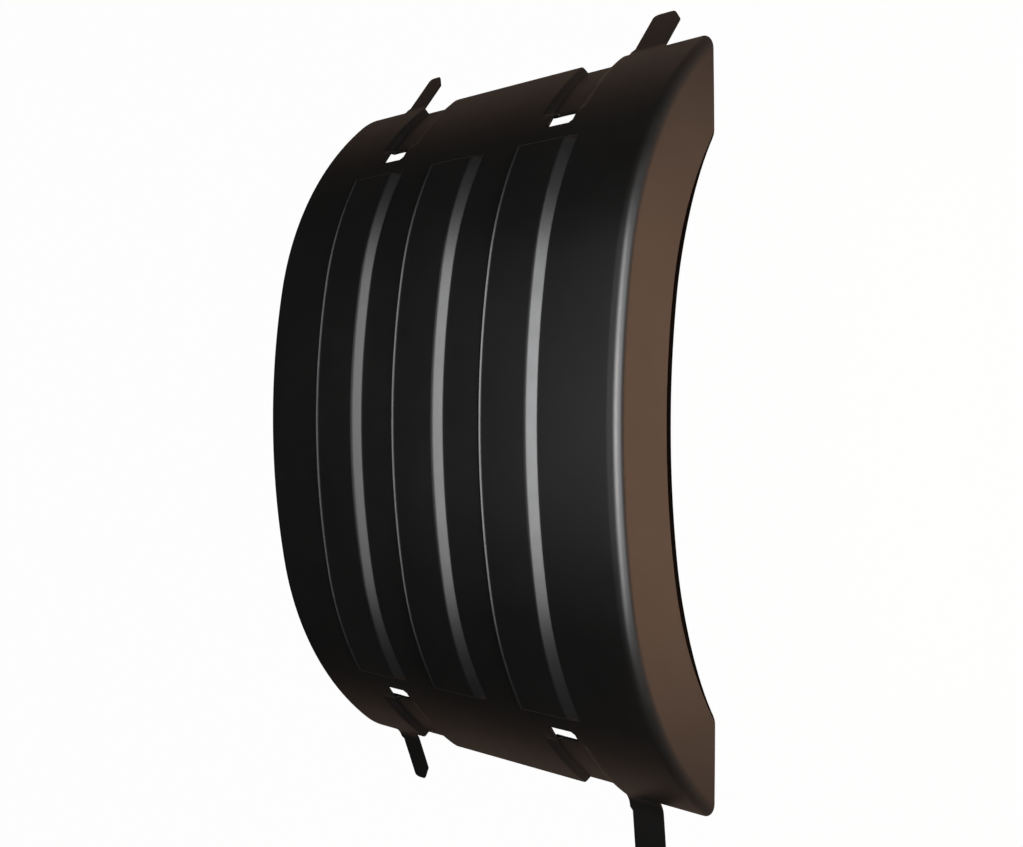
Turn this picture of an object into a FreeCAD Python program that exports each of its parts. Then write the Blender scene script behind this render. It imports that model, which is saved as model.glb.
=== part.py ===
import FreeCAD, Part
import math
import os

# Truck fender, the top section over one wheel: a black moulded arch with an outer skirt,
# three raised pads, four strap slots and four tongues, all one moulding.
# X runs across the fender with the skirt at +X, Y along the vehicle, Z up.
# The origin is under the crown, midway across. Millimetres and degrees.

# Arch, measured on its outer face: a flat crown arc and a tighter arc at each end.
width = 603.0
wall = 4.0
crown_radius = 1042.0
crown_half_angle = 10.7
end_radius = 438.0
end_angle = 53.4
far_corner_radius = 15.0

# Skirt along the outer edge, with its cut-out over the wheel.
skirt_depth = 98.0
skirt_draft = 1.9
shoulder_radius = 15.0
cutout_end_radius = 421.0
foot_corner_radius = 15.0

# Raised pads that follow the arch.
pad_count = 3
pad_width = 91.0
pad_pitch = 148.5
pad_shift = -8.0
pad_height = 10.0
pad_half_length = 358.0
pad_wall_angle = 45.0
pad_edge_radius = 5.0

# Strap slots, and the channels that lead from them to the ends.
# The rear far channel lies a little nearer the open edge than the front one.
near_slot_x = 145.5
far_slot_x = -148.5
slot_length = 38.0
slot_start = 383.0
slot_gap = 30.0
slot_corner_radius = 4.0
near_channel_x = 136.0
front_far_channel_x = -155.0
rear_far_channel_x = -163.0
channel_depth = 7.5
channel_floor = 37.0
channel_far_run = 8.0
channel_near_run = 17.0

# Tongues at the ends, thinner than the wall so that they flex. Each hangs at its own slope.
tongue_thickness = 3.0
tongue_length = 72.0
tongue_tip_run = 22.0
tongue_tip_cut = 15.0
tongue_tip_radius = 6.0
tongue_root = 12.0
tongue_flare = 4.0
tongue_bend_radius = 30.0
near_tongue_width = 45.0
far_tongue_width = 36.0
front_near_tongue_x = 207.0
front_far_tongue_x = -203.0
rear_near_tongue_x = 197.0
rear_far_tongue_x = -230.0
front_tongue_droop = 39.0
rear_near_tongue_droop = 6.0
rear_far_tongue_droop = 21.0

# Room that the cutting shapes reach past the solid.
margin = 20.0

vector = FreeCAD.Vector
x_axis = vector(1, 0, 0)


def sine(angle):
    return math.sin(math.radians(angle))


def cosine(angle):
    return math.cos(math.radians(angle))


def tangent(angle):
    return math.tan(math.radians(angle))


crown_z = wall - crown_radius
side_y = (crown_radius - end_radius) * sine(crown_half_angle)
side_z = crown_z + (crown_radius - end_radius) * cosine(crown_half_angle)
end_z = side_z + end_radius * cosine(end_angle)
end_y = side_y + end_radius * sine(end_angle)
crown_arc = crown_radius * math.radians(crown_half_angle)
run_on_angle = end_angle + math.degrees(margin / end_radius)
below = end_z - 3 * margin


def angle_at(arc_length):
    """Angle from the vertical where the outer face has this length from the crown, past the crown arc."""
    return crown_half_angle + math.degrees((arc_length - crown_arc) / end_radius)


def on_arch(angle, out=0.0, x=0.0):
    """Point of the outer face at this angle from the vertical, moved outwards along its normal."""
    if abs(angle) <= crown_half_angle:
        radius = crown_radius + out
        return vector(x, radius * sine(angle), crown_z + radius * cosine(angle))
    radius = end_radius + out
    return vector(x, math.copysign(side_y, angle) + radius * sine(angle), side_z + radius * cosine(angle))


def arch_edges(out, x=0.0):
    """The outer face's outline from end to end, moved outwards, as three tangent arcs."""
    stations = [-run_on_angle, -crown_half_angle, crown_half_angle, run_on_angle]
    edges = []
    for first, last in zip(stations, stations[1:]):
        middle = (first + last) / 2
        arc = Part.Arc(on_arch(first, out, x), on_arch(middle, out, x), on_arch(last, out, x))
        edges.append(arc.toShape())
    return edges


def closed_face(points):
    """Flat face inside straight lines between the points."""
    return Part.Face(Part.makePolygon(points + points[:1]))


def along_arch(section, first, last):
    """Solid swept along the arch between two angles. The section holds (x, out) points."""
    stops = [angle for angle in (-crown_half_angle, crown_half_angle) if first < angle < last]
    stations = [first] + stops + [last]
    solids = []
    for start, stop in zip(stations, stations[1:]):
        middle = (start + stop) / 2
        centre = vector(0, 0, crown_z)
        radius = crown_radius
        if abs(middle) > crown_half_angle:
            centre = vector(0, math.copysign(side_y, middle), side_z)
            radius = end_radius
        outward = vector(0, sine(start), cosine(start))
        points = [centre + outward * (radius + out) + x_axis * x for x, out in section]
        solids.append(closed_face(points).revolve(centre, -x_axis, stop - start))
    if len(solids) == 1:
        return solids[0]
    return solids[0].multiFuse(solids[1:]).removeSplitter()


def prism_along_x(face, first, last):
    """Solid from a face in the plane of Y and Z, between two places along X."""
    moved = face.copy()
    moved.translate(x_axis * first)
    return moved.extrude(x_axis * (last - first))


def arch_body(inset):
    """Solid under the arch and behind the skirt, with every outer face moved inwards."""
    edges = arch_edges(-inset)
    last = edges[-1].valueAt(edges[-1].LastParameter)
    first = edges[0].valueAt(edges[0].FirstParameter)
    foot_last = vector(0, last.y, below)
    foot_first = vector(0, first.y, below)
    sides = [Part.makeLine(last, foot_last), Part.makeLine(foot_last, foot_first), Part.makeLine(foot_first, first)]
    block = prism_along_x(Part.Face(Part.Wire(edges + sides)), -width / 2 - inset, width / 2 + margin)

    top = wall + margin
    skirt_x = width / 2 - inset / cosine(skirt_draft)
    top_x = skirt_x - (top - end_z) * tangent(skirt_draft)
    low_x = skirt_x + (end_z - below) * tangent(skirt_draft)
    reach = end_y + 2 * margin
    outline = [(-width, below), (low_x, below), (top_x, top), (-width, top)]
    side = closed_face([vector(x, -reach, z) for x, z in outline])
    body = block.common(side.extrude(vector(0, 2 * reach, 0)))

    shoulder = []
    for edge in body.Edges:
        middle = edge.valueAt((edge.FirstParameter + edge.LastParameter) / 2)
        if middle.x > 0 and edge.Curve.TypeId != "Part::GeomLine":
            shoulder.append(edge)
    return body.makeFillet(shoulder_radius - inset, shoulder)


def pad(x, inset):
    """One raised pad on the arch, sloped on its sides and ends."""
    slope = tangent(pad_wall_angle)
    corner = inset * tangent(pad_wall_angle / 2)
    top = pad_height - inset
    foot = -inset
    half_foot = pad_width / 2 - corner
    half_top = half_foot - pad_height / slope
    root = foot - wall
    section = [(x - half_foot, root), (x - half_foot, foot), (x - half_top, top)]
    section += [(x + half_top, top), (x + half_foot, foot), (x + half_foot, root)]
    end = angle_at(pad_half_length)
    ring = along_arch(section, -end, end)

    outward = vector(0, sine(end), cosine(end))
    along = vector(0, cosine(end), -sine(end))
    rise = outward * sine(pad_wall_angle) - along * cosine(pad_wall_angle)
    back = outward * cosine(pad_wall_angle) + along * sine(pad_wall_angle)
    foot_point = on_arch(end) - back * inset
    low = foot_point - rise * 2 * margin
    high = foot_point + rise * 2 * margin
    above = wall + pad_height + margin
    right = [low, high, vector(0, high.y, above)]
    left = [vector(0, -point.y, point.z) for point in reversed(right)]
    keep = prism_along_x(closed_face(right + left), -width, width)
    raised = ring.common(keep).removeSplitter()
    if inset > 0:
        return raised

    rounded = []
    for edge in raised.Edges:
        middle = edge.valueAt((edge.FirstParameter + edge.LastParameter) / 2)
        on_top = abs(height_over_arch(middle) - top) < 0.01
        on_side = abs(abs(middle.x - x) - half_top) < 0.01
        if on_top and on_side:
            rounded.append(edge)
    return raised.makeFillet(pad_edge_radius, rounded)


def height_over_arch(point):
    """Distance of a point outside the arch's outer face."""
    from_crown = vector(0, point.y, point.z - crown_z)
    if abs(math.degrees(math.atan2(from_crown.y, from_crown.z))) <= crown_half_angle:
        return from_crown.Length - crown_radius
    from_side = vector(0, abs(point.y) - side_y, point.z - side_z)
    return from_side.Length - end_radius


def channel(x, inset):
    """Shape that sinks a channel into the front end, from the slots to past the end."""
    far_corner = inset * math.tan(math.atan2(channel_depth, channel_far_run) / 2)
    near_corner = inset * math.tan(math.atan2(channel_depth, channel_near_run) / 2)
    far = x - channel_floor / 2 - far_corner
    near = x + channel_floor / 2 + near_corner
    floor = -channel_depth - inset
    rim = -inset
    above = margin
    section = [(far - channel_far_run, above), (far - channel_far_run, rim), (far, floor)]
    section += [(near, floor), (near + channel_near_run, rim), (near + channel_near_run, above)]
    start = angle_at(slot_start + slot_gap / 2 - inset)
    return along_arch(section, start, run_on_angle + 1.0)


def slot(x):
    """Shape that cuts one strap slot through the front end, with rounded corners."""
    half = slot_length / 2
    section = [(x - half, -margin), (x + half, -margin), (x + half, margin), (x - half, margin)]
    tool = along_arch(section, angle_at(slot_start), angle_at(slot_start + slot_gap))
    corners = []
    for edge in tool.Edges:
        if edge.Curve.TypeId == "Part::GeomLine" and abs(edge.Length - 2 * margin) < 0.01:
            corners.append(edge)
    return tool.makeFillet(slot_corner_radius, corners)


def at_rear(shape):
    """Mirror image at the rear end of a shape made for the front end."""
    return shape.mirror(vector(0, 0, 0), vector(0, 1, 0))


def form(inset):
    """Outer form of the moulding, moved inwards: body and pads, less the channels."""
    middle = (pad_count - 1) / 2
    pads = [pad(pad_shift + (index - middle) * pad_pitch, inset) for index in range(pad_count)]
    channels = [channel(x, inset) for x in (near_channel_x, front_far_channel_x)]
    channels += [at_rear(channel(x, inset)) for x in (near_channel_x, rear_far_channel_x)]
    return arch_body(inset).multiFuse(pads).cut(channels)


def skirt_cutout():
    """Space over the wheel that the skirt leaves open."""
    radius = crown_radius - skirt_depth
    start = crown_half_angle
    corner = vector(0, radius * sine(start), crown_z + radius * cosine(start))
    centre_y = corner.y - cutout_end_radius * sine(start)
    centre_z = corner.z - cutout_end_radius * cosine(start)
    foot_reach = cutout_end_radius + foot_corner_radius
    stop = math.degrees(math.acos((end_z + foot_corner_radius - centre_z) / foot_reach))
    foot_y = centre_y + foot_reach * sine(stop)
    foot_middle = stop / 2

    def on_side(angle, hand):
        y = centre_y + cutout_end_radius * sine(angle)
        return vector(0, hand * y, centre_z + cutout_end_radius * cosine(angle))

    def on_foot(angle, hand):
        y = foot_y - foot_corner_radius * sine(angle)
        return vector(0, hand * y, end_z + foot_corner_radius * (1 - cosine(angle)))

    def side_edges(hand):
        middle = (start + stop) / 2
        side = Part.Arc(on_side(start, hand), on_side(middle, hand), on_side(stop, hand))
        foot = Part.Arc(on_side(stop, hand), on_foot(foot_middle, hand), on_foot(0, hand))
        drop = Part.LineSegment(on_foot(0, hand), vector(0, hand * foot_y, below))
        return [side.toShape(), foot.toShape(), drop.toShape()]

    top = vector(0, 0, crown_z + radius)
    crown = Part.Arc(on_side(start, -1), top, on_side(start, 1)).toShape()
    base = Part.makeLine(vector(0, foot_y, below), vector(0, -foot_y, below))
    edges = Part.sortEdges([crown, base] + side_edges(1) + side_edges(-1))[0]
    return prism_along_x(Part.Face(Part.Wire(edges)), 0, width)


def tongue(x, tongue_width, droop):
    """One tongue at the front end: it leaves the wall's edge, bends and runs straight to a blunt tip."""
    inner = -(wall + tongue_thickness) / 2
    outer = inner + tongue_thickness
    start = end_angle - math.degrees(tongue_root / end_radius)
    leave = on_arch(end_angle, outer)
    leave_inner = on_arch(end_angle, inner)
    outward = vector(0, sine(end_angle), cosine(end_angle))
    bend = leave + outward * tongue_bend_radius
    turned = vector(0, sine(droop), cosine(droop))
    straight = vector(0, cosine(droop), -sine(droop))
    half_turn = (end_angle + droop) / 2
    half = vector(0, sine(half_turn), cosine(half_turn))
    far_radius = tongue_bend_radius + tongue_thickness
    upper = bend - turned * tongue_bend_radius
    lower = bend - turned * far_radius
    tip = upper + straight * tongue_length
    tip_inner = lower + straight * tongue_length
    middle = (start + end_angle) / 2
    edges = [
        Part.Arc(on_arch(start, outer), on_arch(middle, outer), leave).toShape(),
        Part.Arc(leave, bend - half * tongue_bend_radius, upper).toShape(),
        Part.makeLine(upper, tip),
        Part.makeLine(tip, tip_inner),
        Part.makeLine(tip_inner, lower),
        Part.Arc(lower, bend - half * far_radius, leave_inner).toShape(),
        Part.Arc(leave_inner, on_arch(middle, inner), on_arch(start, inner)).toShape(),
        Part.makeLine(on_arch(start, inner), on_arch(start, outer)),
    ]
    strip = prism_along_x(Part.Face(Part.Wire(edges)), x - tongue_width, x + tongue_width)

    half_width = tongue_width / 2
    sides = [(-half_width - tongue_flare, -2 * margin), (-half_width - tongue_flare, 0)]
    sides += [(-half_width, tongue_flare), (-half_width, tongue_length)]
    sides += [(half_width - tongue_tip_cut, tongue_length), (half_width, tongue_length - tongue_tip_run)]
    sides += [(half_width, -2 * margin)]
    points = [upper + straight * run + x_axis * (x + across) - turned * margin for across, run in sides]
    outline = closed_face(points).extrude(turned * 2 * margin)
    tip_corners = []
    for edge in outline.Edges:
        ends = [vertex.Point - upper for vertex in edge.Vertexes]
        through = abs((ends[1] - ends[0]).dot(turned)) > margin
        at_tip = ends[0].dot(straight) > tongue_length / 2
        if through and at_tip:
            tip_corners.append(edge)
    return strip.common(outline.makeFillet(tongue_tip_radius, tip_corners))


def fender():
    """The whole moulding."""
    shell = form(0).cut(form(wall))
    reach = end_y + margin
    room = Part.makeBox(width, 2 * reach, 4 * margin - end_z, vector(-width / 2, -reach, end_z))
    far_corners = []
    for edge in room.Edges:
        box = edge.BoundBox
        if box.XMax < 0 and box.ZMax < 0:
            far_corners.append(edge)
    room = room.makeFillet(far_corner_radius, far_corners)
    slots = [slot(near_slot_x), slot(far_slot_x)]
    slots += [at_rear(shape) for shape in slots]
    shell = shell.common(room).cut(skirt_cutout()).cut(slots)
    tongues = [
        tongue(front_near_tongue_x, near_tongue_width, front_tongue_droop),
        tongue(front_far_tongue_x, far_tongue_width, front_tongue_droop),
        at_rear(tongue(rear_near_tongue_x, near_tongue_width, rear_near_tongue_droop)),
        at_rear(tongue(rear_far_tongue_x, far_tongue_width, rear_far_tongue_droop)),
    ]
    return shell.multiFuse(tongues).removeSplitter()


os.makedirs("parts", exist_ok=True)
solid = fender().Solids[0]
solid.exportStep("parts/fender_shell.step")
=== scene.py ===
from functools import partial, reduce
import math
import bmesh
import bpy
from mathutils import Matrix, Vector


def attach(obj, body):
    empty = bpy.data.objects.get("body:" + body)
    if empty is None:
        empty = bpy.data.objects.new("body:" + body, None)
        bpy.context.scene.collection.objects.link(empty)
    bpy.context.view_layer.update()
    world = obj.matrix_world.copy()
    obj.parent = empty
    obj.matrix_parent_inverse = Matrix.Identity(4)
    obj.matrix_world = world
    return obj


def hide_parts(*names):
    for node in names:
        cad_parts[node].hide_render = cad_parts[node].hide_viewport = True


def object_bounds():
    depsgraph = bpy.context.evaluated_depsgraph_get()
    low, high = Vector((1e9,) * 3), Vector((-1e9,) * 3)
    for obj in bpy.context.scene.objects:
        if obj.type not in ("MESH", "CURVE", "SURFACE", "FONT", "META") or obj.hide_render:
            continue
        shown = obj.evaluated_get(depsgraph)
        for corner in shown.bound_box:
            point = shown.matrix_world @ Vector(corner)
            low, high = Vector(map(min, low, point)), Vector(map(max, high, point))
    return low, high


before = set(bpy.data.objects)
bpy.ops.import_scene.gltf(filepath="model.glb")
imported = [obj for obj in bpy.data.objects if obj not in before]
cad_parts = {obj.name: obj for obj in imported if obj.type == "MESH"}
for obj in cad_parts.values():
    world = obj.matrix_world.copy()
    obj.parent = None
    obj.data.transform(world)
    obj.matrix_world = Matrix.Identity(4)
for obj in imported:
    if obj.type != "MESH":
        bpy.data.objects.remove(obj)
cad_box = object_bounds()


# Fender: the arched top of a truck's mudguard, in black plastic, moulded in one piece and strapped
# down through its four slots. It is drawn here as a flat blank and then formed: bent over the arch,
# turned down at the skirt, raised at the pads and sunk at the channels.
mm = 0.001
wall = 4 * mm
rim_radius = 0.9 * mm
width = cad_box[1].x - cad_box[0].x
crown_radius = 1042 * mm
crown_half_angle = math.radians(10.7)
end_radius = 438 * mm
end_angle = math.radians(53.4)
level_start = 430 * mm
far_corner_radius = 15 * mm

skirt_depth = 98 * mm
skirt_draft = math.radians(1.9)
shoulder_radius = 15 * mm
cutout_end_radius = 421 * mm
foot_corner_radius = 15 * mm
lip_radius = 10 * mm
lip_angle = math.radians(60)
lip_rise = 2.0 * mm
lip_fade_start = 120 * mm
lip_fade_end = 450 * mm
# The band along the skirt's lower edge is painted shade: dark, unreflective plastic where the rounded lip
# mirrors the shaded floor beneath. These are its widths.
most_painted_shade_band = 16 * mm
least_painted_shade_band = 2.6 * mm

middle_pad_x = -8 * mm
pad_pitch = 148.5 * mm
pad_places = [middle_pad_x + step * pad_pitch for step in (-1, 0, 1)]
pad_half_width = 45.5 * mm
pad_height = 10 * mm
pad_half_length = 358 * mm
pad_rim = 2.1 * mm
pad_edge_round = 2.2 * mm
foot_round = 0.9 * mm

slot_places = [145.5 * mm, -148.5 * mm]
slot_half_length = 19 * mm
slot_start = 383 * mm
slot_end = 413 * mm
slot_corner_radius = 4 * mm

near_channel_x = 136 * mm
far_channel_x = -159 * mm
far_channel_step = 4 * mm
channel_depth = 7.5 * mm
channel_half_floor = 18.5 * mm
channel_far_run = 8 * mm
channel_near_run = 17 * mm
channel_start = 409 * mm
channel_start_run = 4 * mm
channel_edge_round = 4 * mm

tongue_thickness = 3 * mm
tongue_length = 72 * mm
tongue_tip_run = 22 * mm
tongue_tip_cut = 15 * mm
tongue_tip_radius = 6 * mm
tongue_flare = 4 * mm
tongue_bend_radius = 30 * mm
tongues = [
    {"end": 1, "x": 207 * mm, "half": 22.5 * mm, "droop": math.radians(39)},
    {"end": 1, "x": -203 * mm, "half": 18 * mm, "droop": math.radians(39)},
    {"end": -1, "x": 197 * mm, "half": 22.5 * mm, "droop": math.radians(6)},
    {"end": -1, "x": -230 * mm, "half": 18 * mm, "droop": math.radians(21)},
]

# Lengths along the arch from the crown, and places across the section as it lies flat.
crown_arc = crown_radius * crown_half_angle
end_arc = crown_arc + end_radius * (end_angle - crown_half_angle)
side_z = wall - crown_radius + (crown_radius - end_radius) * math.cos(crown_half_angle)
end_z = side_z + end_radius * math.cos(end_angle)
shoulder_angle = math.pi / 2 - skirt_draft
skirt_x = width / 2 - (wall - end_z) * math.tan(skirt_draft)
flat_end = skirt_x - shoulder_radius * math.tan(shoulder_angle / 2)
skirt_start = flat_end + shoulder_radius * shoulder_angle
draft_start = pad_places[-1] + pad_half_width
lip_length = lip_radius * lip_angle


def arch_angle(length):
    """Angle from the vertical at this length along the arch from the crown."""
    past_crown = max(length - crown_arc, 0)
    return min(length, crown_arc) / crown_radius + past_crown / end_radius


def on_skirt(length, depth):
    """Place along and up of a point of the skirt, below the arch at this length."""
    angle = arch_angle(length)
    level_angle = math.acos(end_radius * math.cos(end_angle) / (end_radius - depth))
    share = max(length - level_start, 0) / (end_arc - level_start)
    angle += share * (level_angle - end_angle)
    crown_angle = min(length, crown_arc) / crown_radius
    y = (crown_radius - end_radius) * math.sin(crown_angle) + (end_radius - depth) * math.sin(angle)
    z = (crown_radius - end_radius) * math.cos(crown_angle) + (end_radius - depth) * math.cos(angle)
    return y, z + wall - crown_radius


def cutout_height(y):
    """Height of the skirt's lower edge: an arc over the crown, one at each side and a round at the foot."""
    crown_y = (crown_radius - skirt_depth) * math.sin(crown_half_angle)
    crown_z = wall - crown_radius
    if y <= crown_y:
        return crown_z + math.sqrt((crown_radius - skirt_depth) ** 2 - y ** 2)
    shift = crown_radius - skirt_depth - cutout_end_radius
    centre_y = shift * math.sin(crown_half_angle)
    centre_z = crown_z + shift * math.cos(crown_half_angle)
    reach = cutout_end_radius + foot_corner_radius
    rise = end_z + foot_corner_radius - centre_z
    foot_y = centre_y + math.sqrt(reach ** 2 - rise ** 2)
    touch_y = centre_y + (foot_y - centre_y) * cutout_end_radius / reach
    if y <= touch_y:
        return centre_z + math.sqrt(cutout_end_radius ** 2 - (y - centre_y) ** 2)
    to_foot = max(foot_y - y, 0)
    return end_z + foot_corner_radius - math.sqrt(foot_corner_radius ** 2 - to_foot ** 2)


def lip_share(length):
    """How much of the lip there is at this length: all of it over the wheel, none at the feet."""
    way = min(max((lip_fade_end - abs(length)) / (lip_fade_end - lip_fade_start), 0), 1)
    return way * way * (3 - 2 * way)


def painted_shade_band(length):
    """Width of the band of painted shade along the skirt's lower edge: widest over the wheel."""
    return least_painted_shade_band + (most_painted_shade_band - least_painted_shade_band) * lip_share(length)


def skirt_reach(length):
    """Place across the blank of the skirt's lower edge, found by halving. A level foot counts as skirt."""
    halvings = 40
    level_slack = 1e-6 * mm
    shallow, deep = 0.0, skirt_depth + foot_corner_radius
    for _ in range(halvings):
        depth = (shallow + deep) / 2
        y, z = on_skirt(abs(length), depth)
        if z > cutout_height(y) - level_slack:
            shallow = depth
        else:
            deep = depth
    shoulder_drop = shoulder_radius * (1 - math.cos(shoulder_angle))
    lip_room = (lip_length - lip_rise) * lip_share(length)
    return skirt_start + (depth - shoulder_drop) / math.sin(shoulder_angle) + lip_room


def set_out(exact, bends, widest):
    """Sorted stations: the exact ones, a few within the reach of each bend, and even steps in wide gaps."""
    bend_shares = (-1, -0.67, -0.33, 0, 0.33, 0.67, 1)
    closest_share = 0.25
    stations = sorted(set(exact))
    for bend, reach in bends:
        for share in bend_shares:
            place = bend + share * reach
            clear = min(abs(place - other) for other in stations) > closest_share * reach
            if clear and stations[0] < place < stations[-1]:
                stations.append(place)
                stations.sort()
    filled = stations[:1]
    for low, high in zip(stations, stations[1:]):
        steps = math.ceil((high - low) / widest)
        filled += [low + (high - low) * step / steps for step in range(1, steps + 1)]
    return filled


# The blank's stations across, up to the skirt: closest where it bends.
widest_across = 16 * mm
edge_reach = 2.4 * mm
foot_reach = 1.0 * mm
far_edge = -width / 2
exact_across = [far_edge, far_edge + far_corner_radius, flat_end]
for slot_x in slot_places:
    for side in (-1, 1):
        slot_side = slot_x + side * slot_half_length
        exact_across += [slot_side, slot_side - side * slot_corner_radius]
for tongue in tongues:
    exact_across += [tongue["x"] - tongue["half"] - tongue_flare, tongue["x"] + tongue["half"]]
bends = []
half_top = pad_half_width - pad_height
for pad_x in pad_places:
    bends += [(pad_x - half_top + pad_rim, foot_reach), (pad_x - half_top + 2 * pad_rim, foot_reach)]
    bends += [(pad_x + half_top, edge_reach)]
    bends += [(pad_x - pad_half_width, foot_reach), (pad_x + pad_half_width, foot_reach)]
far_reach = channel_edge_round * channel_far_run / channel_depth
near_reach = channel_edge_round * channel_near_run / channel_depth
for channel_x in (near_channel_x, far_channel_x - far_channel_step, far_channel_x + far_channel_step):
    far_floor, near_floor = channel_x - channel_half_floor, channel_x + channel_half_floor
    bends += [(far_floor - channel_far_run, far_reach), (near_floor + channel_near_run, near_reach)]
    bends += [(far_floor, foot_reach), (near_floor, foot_reach)]
across = set_out(exact_across, bends, widest_across)
shoulder_steps = 12
for step in range(1, shoulder_steps + 1):
    across.append(flat_end + (skirt_start - flat_end) * step / shoulder_steps)

# On the skirt, columns at these shares of its plain depth and of its band of painted shade follow the lower
# edge.
skirt_shares = [0.14, 0.28, 0.43, 0.57, 0.71, 0.86, 1.0]
painted_shade_shares = [0.25, 0.45, 0.6, 1.0]

# The stations along, alike to both ends, and how far the skirt reaches at each.
widest_along = 11 * mm
far_corner_run = far_corner_radius / math.sin(end_angle)
exact_along = [0, slot_start, slot_start + slot_corner_radius, slot_end - slot_corner_radius, slot_end]
exact_along += [channel_start - channel_start_run, end_arc - far_corner_run, end_arc]
along_bends = [(pad_half_length - pad_height, edge_reach), (pad_half_length, foot_reach)]
half_along = set_out(exact_along, along_bends, widest_along)
along = [-station for station in reversed(half_along[1:])] + half_along
reaches = [skirt_reach(station) for station in along]

blank = bmesh.new()
corners = {}


def corner(column, row):
    """The blank's vertex at a column and a row, made when first asked for."""
    if (column, row) not in corners:
        if column < len(across):
            place = across[column]
        else:
            number = column - len(across)
            band = painted_shade_band(along[row])
            painted_shade_start = reaches[row] - band
            if number < len(skirt_shares):
                place = skirt_start + skirt_shares[number] * (painted_shade_start - skirt_start)
            else:
                place = painted_shade_start + painted_shade_shares[number - len(skirt_shares)] * band
        corners[column, row] = blank.verts.new((place, along[row], 0))
    return corners[column, row]


def nearest(stations, place):
    """Number of the station at this place."""
    return min(range(len(stations)), key=lambda number: abs(stations[number] - place))


# The slots' holes, and the squares at the far corners, are left out of the blank's cells.
left_out = set()
rounds = []


def leave_out(first, second):
    """Leave out the cells between two opposite corners."""
    low_column, high_column = sorted(nearest(across, place[0]) for place in (first, second))
    low_row, high_row = sorted(nearest(along, place[1]) for place in (first, second))
    for column in range(low_column, high_column):
        left_out.update((column, row) for row in range(low_row, high_row))


for end in (-1, 1):
    for slot_x in slot_places:
        leave_out((slot_x - slot_half_length, end * slot_start), (slot_x + slot_half_length, end * slot_end))
        for side in (-1, 1):
            for way, inward in ((slot_start, slot_corner_radius), (slot_end, -slot_corner_radius)):
                knee = (slot_x + side * slot_half_length, end * way)
                centre = (knee[0] - side * slot_corner_radius, end * (way + inward))
                rounds.append({"knee": knee, "centre": centre, "outer": centre})
    centre = (far_edge + far_corner_radius, end * (end_arc - far_corner_run))
    outer = (far_edge, end * end_arc)
    leave_out(centre, outer)
    rounds.append({"knee": centre, "centre": centre, "outer": outer})

columns = len(across) + len(skirt_shares) + len(painted_shade_shares)
for column in range(columns - 1):
    for row in range(len(along) - 1):
        if (column, row) in left_out:
            continue
        blank.faces.new([
            corner(column, row), corner(column + 1, row),
            corner(column + 1, row + 1), corner(column, row + 1),
        ])

# Rounded corners: each is a patch between two grid lines and a quarter round.
round_steps = 6
for item in rounds:
    middle = Vector((*item["centre"], 0))
    knee_column, knee_row = nearest(across, item["knee"][0]), nearest(along, item["knee"][1])
    outer_column, outer_row = nearest(across, item["outer"][0]), nearest(along, item["outer"][1])
    column_step = 1 if outer_column > knee_column else -1
    row_step = 1 if outer_row > knee_row else -1
    outline = [corner(column, knee_row) for column in range(outer_column, knee_column, -column_step)]
    outline += [corner(knee_column, row) for row in range(knee_row, outer_row + row_step, row_step)]
    first, last = outline[0].co - middle, outline[-1].co - middle
    for step in range(1, round_steps):
        angle = step / round_steps * math.pi / 2
        outline.append(blank.verts.new(middle + last * math.cos(angle) + first * math.sin(angle)))
    blank.faces.new(outline)

# Tongues run on from the end rows and narrow to their tips.
widest_tongue_step = 4 * mm
tip_steps = 5
for tongue in tongues:
    end, tongue_x, half = tongue["end"], tongue["x"], tongue["half"]
    bend = tongue_bend_radius * (end_angle - tongue["droop"])
    total = bend + tongue_length
    tip_start = total - tongue_tip_radius
    exact_runs = [0, bend, bend + tongue_flare, total - tongue_tip_run, tip_start]
    runs = set_out(exact_runs, [], widest_tongue_step)
    for step in range(1, tip_steps + 1):
        runs.append(tip_start + tongue_tip_radius * math.sin(math.pi / 2 * step / tip_steps))
    root_left, root_right = tongue_x - half - tongue_flare, tongue_x + half
    root = range(nearest(across, root_left), nearest(across, root_right) + 1)
    shares = [(across[column] - root_left) / (root_right - root_left) for column in root]
    end_row = nearest(along, end * end_arc)
    before = [corner(column, end_row) for column in root]
    for run in runs[1:]:
        flare = tongue_flare * (1 - min(max((run - bend) / tongue_flare, 0), 1))
        cut = tongue_tip_cut * max((run - total + tongue_tip_run) / tongue_tip_run, 0)
        past = max(run - tip_start, 0)
        rounding = tongue_tip_radius - math.sqrt(max(tongue_tip_radius ** 2 - past ** 2, 0))
        left = tongue_x - half - flare + rounding
        right = tongue_x + half - cut - rounding / 2
        station = end * (end_arc + run)
        strip = [blank.verts.new((left + share * (right - left), station, 0)) for share in shares]
        for number in range(len(strip) - 1):
            blank.faces.new([before[number], before[number + 1], strip[number + 1], strip[number]])
        before = strip

# Thickness, and a small round on every rim, where a level face meets an upright one.
level_limit = 0.5
made = bmesh.ops.extrude_face_region(blank, geom=blank.faces[:], use_keep_orig=True)
for item in made["geom"]:
    if isinstance(item, bmesh.types.BMVert):
        item.co.z = -wall
bmesh.ops.recalc_face_normals(blank, faces=blank.faces[:])
rims = []
for edge in blank.edges:
    level = [abs(face.normal.z) > level_limit for face in edge.link_faces]
    if len(level) == 2 and level[0] != level[1]:
        rims.append(edge)
bmesh.ops.bevel(
    blank, geom=rims, offset=rim_radius, segments=2, profile=0.5, affect="EDGES", clamp_overlap=False,
)
blank_mesh = bpy.data.meshes.new("fender_blank")
blank.to_mesh(blank_mesh)
blank.free()
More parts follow.
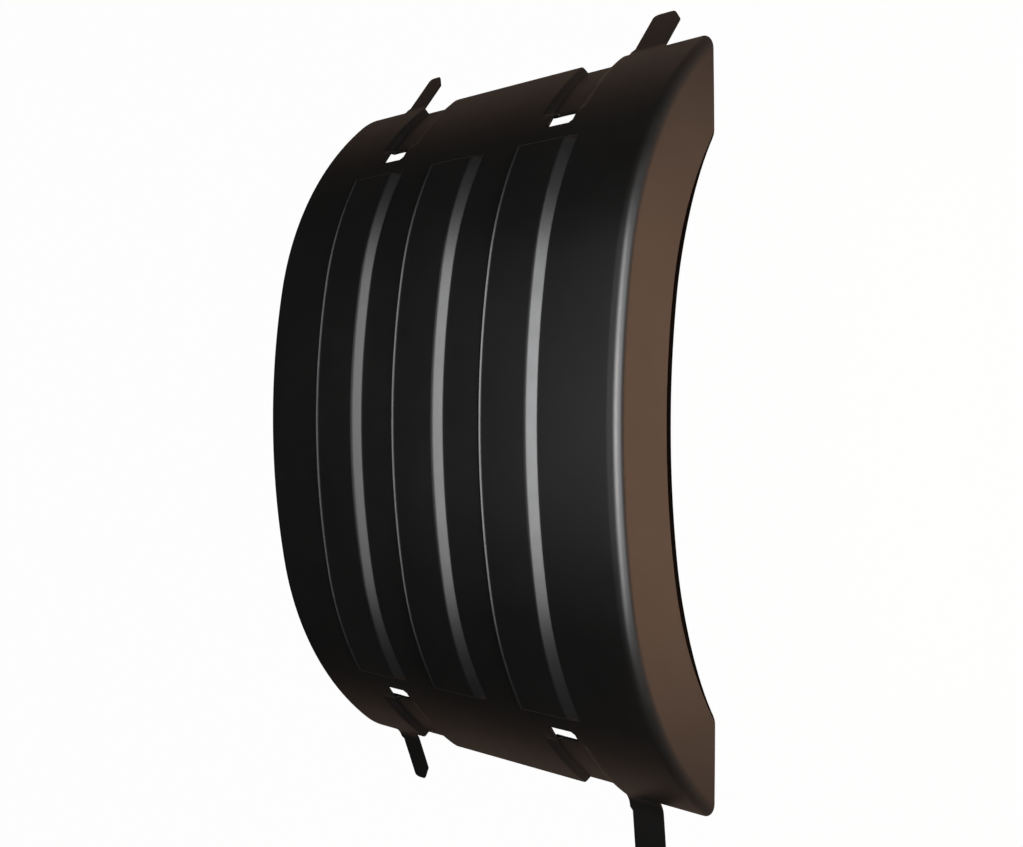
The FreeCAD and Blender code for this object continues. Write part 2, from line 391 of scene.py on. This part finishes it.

# Each point keeps its way to the skirt's lower edge, whether it lies in the band of painted shade, and its
# tongue's droop.
far_from_lip = 1.0
painted_shade_slack = 0.1 * mm
lip_way = blank_mesh.attributes.new("to_lower_edge", "FLOAT", "POINT")
painted_shade_mask = blank_mesh.attributes.new("painted_shade_mask", "FLOAT", "POINT")
droop = blank_mesh.attributes.new("droop", "FLOAT", "POINT")
for number, vertex in enumerate(blank_mesh.vertices):
    place, station = vertex.co.x, vertex.co.y
    lip_way.data[number].value = far_from_lip
    painted_shade_mask.data[number].value = 0.0
    droop.data[number].value = end_angle
    if place > skirt_start:
        on_end = max(min(station, end_arc), -end_arc)
        to_edge = skirt_reach(on_end) - place
        lip_way.data[number].value = to_edge + lip_length * (1 - lip_share(on_end))
        painted_shade_mask.data[number].value = float(to_edge < painted_shade_band(on_end) + painted_shade_slack)
    if abs(station) > end_arc:
        same_end = [tongue for tongue in tongues if tongue["end"] * station > 0]
        own = min(same_end, key=lambda tongue: abs(tongue["x"] - place))
        droop.data[number].value = own["droop"]

# The forming rule, as a tree that moves each point of the blank to its place.
forming = bpy.data.node_groups.new("form_fender", "GeometryNodeTree")
forming.interface.new_socket("Geometry", in_out="INPUT", socket_type="NodeSocketGeometry")
forming.interface.new_socket("Geometry", in_out="OUTPUT", socket_type="NodeSocketGeometry")
forming_sizes = {
    "Wall": wall,
    "Crown radius": crown_radius,
    "Crown arc": crown_arc,
    "End radius": end_radius,
    "End angle": end_angle,
    "End arc": end_arc,
    "Level start": level_start,
    "Flat end": flat_end,
    "Shoulder radius": shoulder_radius,
    "Shoulder angle": shoulder_angle,
    "Draft start": draft_start,
    "Draft slope": math.tan(skirt_draft),
    "Lip radius": lip_radius,
    "Lip length": lip_length,
    "Pad half width": pad_half_width,
    "Pad half length": pad_half_length,
    "Pad height": pad_height,
    "Pad rim": pad_rim,
    "Pad edge round": pad_edge_round,
    "Foot round": foot_round,
    "Channel depth": channel_depth,
    "Channel half floor": channel_half_floor,
    "Channel far run": channel_far_run,
    "Channel near run": channel_near_run,
    "Channel start": channel_start,
    "Channel start run": channel_start_run,
    "Channel edge round": channel_edge_round,
    "Near channel": near_channel_x,
    "Far channel": far_channel_x,
    "Far channel step": far_channel_step,
    "Tongue thickness": tongue_thickness,
    "Tongue bend radius": tongue_bend_radius,
}
size_ids = {}
for name, value in forming_sizes.items():
    socket = forming.interface.new_socket(name, in_out="INPUT", socket_type="NodeSocketFloat")
    socket.default_value = value
    size_ids[name] = socket.identifier
size = forming.nodes.new("NodeGroupInput").outputs


def calc(operation, *values):
    """One arithmetic node. Each value is a number or another node's output."""
    node = forming.nodes.new("ShaderNodeMath")
    node.operation = operation
    for number, value in enumerate(values):
        if isinstance(value, (int, float)):
            node.inputs[number].default_value = value
        else:
            forming.links.new(value, node.inputs[number])
    return node.outputs[0]


minus = partial(calc, "SUBTRACT")
over = partial(calc, "DIVIDE")
least = partial(calc, "MINIMUM")
most = partial(calc, "MAXIMUM")
soft_least = partial(calc, "SMOOTH_MIN")
soft_most = partial(calc, "SMOOTH_MAX")
sine = partial(calc, "SINE")
cosine = partial(calc, "COSINE")


def plus(*values):
    """Sum of two or more values."""
    return reduce(partial(calc, "ADD"), values)


def times(*values):
    """Product of two or more values."""
    return reduce(partial(calc, "MULTIPLY"), values)


def between(value, low, high):
    """The value, held between two limits."""
    return least(most(value, low), high)


def stored(name):
    """A point's own value, kept on the blank."""
    node = forming.nodes.new("GeometryNodeInputNamedAttribute")
    node.data_type = "FLOAT"
    node.inputs["Name"].default_value = name
    return node.outputs["Attribute"]


on_blank = forming.nodes.new("ShaderNodeSeparateXYZ")
forming.links.new(forming.nodes.new("GeometryNodeInputPosition").outputs[0], on_blank.inputs[0])
over_width, over_length, through = on_blank.outputs
hand = calc("SIGN", over_length)
length = calc("ABSOLUTE", over_length)
arch_length = least(length, size["End arc"])
tongue_run = most(minus(length, size["End arc"]), 0)

# Pads rise and channels sink by the distance from their nearest foot line.
end_way = minus(size["Pad half length"], arch_length)
raised = 0
for pad_x in pad_places:
    from_middle = minus(over_width, pad_x)
    far_way = plus(size["Pad half width"], from_middle)
    near_way = least(minus(size["Pad half width"], from_middle), end_way)
    rim_slope = minus(times(plus(size["Pad height"], size["Pad rim"]), 2), far_way)
    top = soft_most(size["Pad height"], rim_slope, size["Foot round"])
    far_topped = soft_least(far_way, top, size["Foot round"])
    topped = least(far_topped, soft_least(near_way, top, size["Pad edge round"]))
    raised = plus(soft_most(topped, 0, size["Foot round"]), raised)


def sunk(channel_x):
    """Depth of one channel below the arch."""
    from_middle = minus(over_width, channel_x)
    far_way = plus(from_middle, size["Channel half floor"], size["Channel far run"])
    near_way = minus(plus(size["Channel half floor"], size["Channel near run"]), from_middle)
    start_way = minus(length, size["Channel start"])
    ways = least(over(far_way, size["Channel far run"]), over(near_way, size["Channel near run"]))
    ways = least(ways, over(start_way, size["Channel start run"]))
    floored = soft_least(times(ways, size["Channel depth"]), size["Channel depth"], size["Foot round"])
    return soft_most(floored, 0, size["Channel edge round"])


far_channel = plus(size["Far channel"], times(hand, size["Far channel step"]))
height = minus(raised, plus(sunk(size["Near channel"]), sunk(far_channel)))

# The wall's depth at each point. The tongues are thinned alike from both faces.
on_tongue = least(over(tongue_run, size["Wall"]), 1)
thinning = minus(size["Wall"], size["Tongue thickness"])
thin_share = over(thinning, size["Wall"])
depth = minus(through, times(through, on_tongue, thin_share))
depth = minus(depth, times(on_tongue, over(thinning, 2)))

# The section: flat, then round the shoulder, down the skirt and round its lip.
past_flat = minus(over_width, size["Flat end"])
turn = between(over(past_flat, size["Shoulder radius"]), 0, size["Shoulder angle"])
shoulder_length = times(size["Shoulder radius"], size["Shoulder angle"])
down = most(minus(past_flat, shoulder_length), 0)
lip_run = most(minus(size["Lip length"], stored("to_lower_edge")), 0)
lip_turn = over(lip_run, size["Lip radius"])
section_turn = plus(turn, lip_turn)
round_out = times(size["Shoulder radius"], sine(turn))
round_drop = times(size["Shoulder radius"], minus(1, cosine(turn)))
lip_in = times(size["Lip radius"], minus(1, cosine(lip_turn)))
lip_saved = minus(lip_run, times(size["Lip radius"], sine(lip_turn)))
formed_x = plus(least(over_width, size["Flat end"]), round_out, times(down, cosine(turn)))
formed_x = plus(minus(formed_x, lip_in), times(depth, sine(section_turn)))
rise = minus(plus(height, lip_saved), plus(round_drop, times(down, sine(turn))))
rise = plus(rise, times(depth, cosine(section_turn)))

# The arch, with its ends cut level.
crown_turn = over(least(arch_length, size["Crown arc"]), size["Crown radius"])
arch_turn = plus(crown_turn, over(most(minus(arch_length, size["Crown arc"]), 0), size["End radius"]))
end_rise = times(size["End radius"], cosine(size["End angle"]))
level_turn = calc("ARCCOSINE", over(end_rise, plus(size["End radius"], rise)))
level_share = over(minus(arch_length, size["Level start"]), minus(size["End arc"], size["Level start"]))
level_share = between(level_share, 0, 1)
arch_turn = plus(arch_turn, times(level_share, minus(level_turn, size["End angle"])))
radius_step = minus(size["Crown radius"], size["End radius"])
arch_y = plus(times(radius_step, sine(crown_turn)), times(size["End radius"], sine(arch_turn)))
arch_z = plus(times(radius_step, cosine(crown_turn)), times(size["End radius"], cosine(arch_turn)))
arch_z = plus(arch_z, minus(size["Wall"], size["Crown radius"]))

# The tongues, bent on from the ends and then straight.
bend_room = minus(size["End angle"], stored("droop"))
bend_turn = least(over(tongue_run, size["Tongue bend radius"]), bend_room)
straight = most(minus(tongue_run, times(size["Tongue bend radius"], bend_room)), 0)
final_turn = minus(arch_turn, bend_turn)
bend_y = times(size["Tongue bend radius"], minus(sine(arch_turn), sine(final_turn)))
bend_z = times(size["Tongue bend radius"], minus(cosine(arch_turn), cosine(final_turn)))
straight_y = times(straight, cosine(stored("droop")))
straight_z = times(straight, sine(stored("droop")), -1)
formed_y = plus(arch_y, bend_y, straight_y, times(rise, sine(final_turn)))
formed_z = plus(arch_z, bend_z, straight_z, times(rise, cosine(final_turn)))

# The skirt stands further out the lower it is, so that the fender leaves its mould.
draft_share = over(minus(over_width, size["Draft start"]), minus(size["Flat end"], size["Draft start"]))
drop = minus(size["Wall"], arch_z)
formed_x = plus(formed_x, times(between(draft_share, 0, 1), drop, size["Draft slope"]))

painted_shade_limit = 0.75
formed = forming.nodes.new("ShaderNodeCombineXYZ")
for number, value in enumerate((formed_x, times(formed_y, hand), formed_z)):
    forming.links.new(value, formed.inputs[number])
moved = forming.nodes.new("GeometryNodeSetPosition")
smooth = forming.nodes.new("GeometryNodeSetShadeSmooth")
realized = forming.nodes.new("GeometryNodeRealizeInstances")
clad = forming.nodes.new("GeometryNodeSetMaterial")
painted_shade_node = forming.nodes.new("GeometryNodeSetMaterial")
shown = forming.nodes.new("NodeGroupOutput")
forming.links.new(formed.outputs[0], moved.inputs["Position"])
# Points in the band of painted shade along the skirt's lower edge get the dark, unreflective material.
forming.links.new(calc("GREATER_THAN", stored("painted_shade_mask"), painted_shade_limit), painted_shade_node.inputs["Selection"])
forming.links.new(size["Geometry"], moved.inputs["Geometry"])
steps_in_turn = [moved, smooth, realized, clad, painted_shade_node, shown]
for before, after in zip(steps_in_turn, steps_in_turn[1:]):
    forming.links.new(before.outputs["Geometry"], after.inputs["Geometry"])


def black_plastic(name, dark, light, roughness_range, specular_level):
    """Black plastic: a fine moulded grain, faint flow clouds and a slightly uneven gloss."""
    scale_and_detail = {"clouds": (7.0, 3.0), "unevenness": (40.0, 4.0), "grain": (900.0, 2.0)}
    cloud_stops = (0.3, 0.7)
    grain_strength = 0.12
    grain_height = 0.3 * mm
    plastic = bpy.data.materials.new(name)
    plastic.use_nodes = True
    nodes, links = plastic.node_tree.nodes, plastic.node_tree.links
    surface = nodes["Principled BSDF"]
    surface.inputs["Specular IOR Level"].default_value = specular_level
    coordinates = nodes.new("ShaderNodeTexCoord")
    for noise_name, (scale, detail) in scale_and_detail.items():
        noise = nodes.new("ShaderNodeTexNoise")
        noise.name = noise_name
        noise.inputs["Scale"].default_value = scale
        noise.inputs["Detail"].default_value = detail
        links.new(coordinates.outputs["Object"], noise.inputs["Vector"])
    shade = nodes.new("ShaderNodeValToRGB")
    for number, colour in enumerate((dark, light)):
        shade.color_ramp.elements[number].position = cloud_stops[number]
        shade.color_ramp.elements[number].color = colour
    links.new(nodes["clouds"].outputs["Fac"], shade.inputs["Fac"])
    links.new(shade.outputs["Color"], surface.inputs["Base Color"])
    gloss = nodes.new("ShaderNodeMapRange")
    gloss.inputs["To Min"].default_value, gloss.inputs["To Max"].default_value = roughness_range
    links.new(nodes["unevenness"].outputs["Fac"], gloss.inputs["Value"])
    links.new(gloss.outputs["Result"], surface.inputs["Roughness"])
    texture = nodes.new("ShaderNodeBump")
    texture.inputs["Strength"].default_value = grain_strength
    texture.inputs["Distance"].default_value = grain_height
    links.new(nodes["grain"].outputs["Fac"], texture.inputs["Height"])
    links.new(texture.outputs["Normal"], surface.inputs["Normal"])
    return plastic


# The moulded faces are satin. The band along the skirt's lower edge is painted shade: a darker, rough
# plastic with no specular reflection, standing in for the dark the rounded lip mirrors from the shaded floor
# beneath.
clad.inputs["Material"].default_value = black_plastic(
    "satin_black_plastic", dark=(0.0040, 0.0037, 0.0036, 1), light=(0.0075, 0.0070, 0.0067, 1),
    roughness_range=(0.30, 0.38), specular_level=1.0,
)
painted_shade_node.inputs["Material"].default_value = black_plastic(
    "painted_shade_black_plastic", dark=(0.0020, 0.0015, 0.0012, 1), light=(0.0035, 0.0026, 0.0021, 1),
    roughness_range=(0.80, 0.95), specular_level=0.0,
)

blank_object = bpy.data.objects.new("fender_blank", blank_mesh)
bpy.context.scene.collection.objects.link(blank_object)
press = blank_object.modifiers.new("press", "NODES")
press.node_group = forming
for name, value in forming_sizes.items():
    press[size_ids[name]] = value
even = blank_object.modifiers.new("even_normals", "WEIGHTED_NORMAL")
even.keep_sharp = True
pressed = bpy.data.meshes.new_from_object(blank_object.evaluated_get(bpy.context.evaluated_depsgraph_get()))
bpy.data.objects.remove(blank_object)
fender = bpy.data.objects.new("fender", pressed)
bpy.context.scene.collection.objects.link(fender)
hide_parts("fender_shell")
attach(fender, "root")


# Studio floor: a wide sheet of paper that lies just below the fender and takes its shadow, faintly.
# The camera sees it nearly white. Its own colour is a warm brown, which is what the plastic mirrors.
floor_half = 6.0
floor_gap = 10 * mm
floor_colour = (0.26, 0.18, 0.138, 1)
floor_whiteness = 0.985
floor_low = cad_box[0].z - floor_gap
square = [(-1, -1), (1, -1), (1, 1), (-1, 1)]
floor_corners = [(x * floor_half, y * floor_half, floor_low) for x, y in square]
floor_mesh = bpy.data.meshes.new("floor")
floor_mesh.from_pydata(floor_corners, [], [(0, 1, 2, 3)])
floor = bpy.data.objects.new("floor", floor_mesh)
bpy.context.scene.collection.objects.link(floor)
paper = bpy.data.materials.new("floor_paper")
paper.use_nodes = True
nodes, links = paper.node_tree.nodes, paper.node_tree.links
nodes.remove(nodes["Principled BSDF"])
sheet = nodes.new("ShaderNodeBsdfDiffuse")
sheet.inputs["Color"].default_value = floor_colour
white = nodes.new("ShaderNodeEmission")
seen = nodes.new("ShaderNodeLightPath")
whiteness = nodes.new("ShaderNodeMath")
whiteness.operation = "MULTIPLY"
whiteness.inputs[1].default_value = floor_whiteness
mixed = nodes.new("ShaderNodeMixShader")
links.new(seen.outputs["Is Camera Ray"], whiteness.inputs[0])
links.new(whiteness.outputs[0], mixed.inputs["Fac"])
links.new(sheet.outputs[0], mixed.inputs[1])
links.new(white.outputs[0], mixed.inputs[2])
links.new(mixed.outputs[0], nodes["Material Output"].inputs["Surface"])
floor_mesh.materials.append(paper)


# Studio light: five soft boxes on stands, in a dim, even room that the camera sees as white. Two long
# ones stand high in front of the skirt and a low one below them, one hangs over the crown, and a small
# warm one lights the floor before the skirt.
def soft_box(name, place, aim, face, power, grid_angle, colour):
    """A rectangular lamp that faces the aim, with a grid that narrows its light to this many degrees."""
    lamp = bpy.data.lights.new(name, "AREA")
    lamp.shape = "RECTANGLE"
    lamp.size, lamp.size_y = face
    lamp.energy = power
    lamp.spread = math.radians(grid_angle)
    lamp.color = colour
    stand = bpy.data.objects.new(name, lamp)
    bpy.context.scene.collection.objects.link(stand)
    stand.location = place
    way = Vector(aim) - Vector(place)
    stand.rotation_mode = "QUATERNION"
    stand.rotation_quaternion = way.to_track_quat("-Z", "Y")


soft_box(
    "front_box", place=(1.90, 0.10, 1.35), aim=(0.1, 0.0, 0.0), face=(2.4, 0.55),
    power=13.5, grid_angle=120, colour=(0.98, 0.99, 1.0),
)
soft_box(
    "high_box", place=(1.60, 0.10, 1.75), aim=(0.1, 0.0, 0.0), face=(3.8, 0.45),
    power=6.8, grid_angle=120, colour=(1.0, 0.99, 1.0),
)
soft_box(
    "low_box", place=(2.34, 0.10, 0.48), aim=(0.29, 0.10, 0.0), face=(2.0, 1.3),
    power=4.5, grid_angle=70, colour=(0.92, 0.95, 1.0),
)
soft_box(
    "top_box", place=(-0.20, 0.30, 2.00), aim=(0.0, 0.30, 0.0), face=(2.4, 2.0),
    power=3.6, grid_angle=110, colour=(1.0, 1.0, 1.0),
)
soft_box(
    "floor_box", place=(0.97, 0.0, 0.35), aim=(0.50, 0.0, floor_low), face=(0.8, 0.2),
    power=3.9, grid_angle=42, colour=(1.0, 0.80, 0.62),
)
room_strength = 0.021
room_colour = (1.0, 0.98, 0.96, 1)
world = bpy.data.worlds.new("room")
world.use_nodes = True
nodes, links = world.node_tree.nodes, world.node_tree.links
room = nodes["Background"]
room.inputs["Color"].default_value = room_colour
room.inputs["Strength"].default_value = room_strength
backdrop = nodes.new("ShaderNodeBackground")
backdrop.inputs["Color"].default_value = (1.0, 1.0, 1.0, 1)
seen = nodes.new("ShaderNodeLightPath")
mixed = nodes.new("ShaderNodeMixShader")
links.new(seen.outputs["Is Camera Ray"], mixed.inputs["Fac"])
links.new(room.outputs[0], mixed.inputs[1])
links.new(backdrop.outputs[0], mixed.inputs[2])
links.new(mixed.outputs[0], nodes["World Output"].inputs["Surface"])
bpy.context.scene.world = world


# Camera: it stands in front of the skirt and above it, turned so that the vehicle's length runs up the
# picture. Its lens, place and angles are those that fit the photograph.
lens_length = 38.317
sensor_width = 36
camera_place = (0.96787, 0.03054, 0.93889)
azimuth = math.radians(1.59)
elevation = math.radians(48.738)
roll = math.radians(-91.468)
eye = bpy.data.cameras.new("camera")
eye.lens = lens_length
eye.sensor_width = sensor_width
camera = bpy.data.objects.new("camera", eye)
bpy.context.scene.collection.objects.link(camera)
level_back = Vector((math.cos(azimuth), math.sin(azimuth), 0))
back = level_back * math.cos(elevation) + Vector((0, 0, math.sin(elevation)))
turned = (-back).to_track_quat("-Z", "Y").to_matrix() @ Matrix.Rotation(roll, 3, "Z")
camera.location = camera_place
camera.rotation_mode = "QUATERNION"
camera.rotation_quaternion = turned.to_quaternion()
bpy.context.scene.camera = camera
bpy.context.scene.view_settings.view_transform = "Standard"
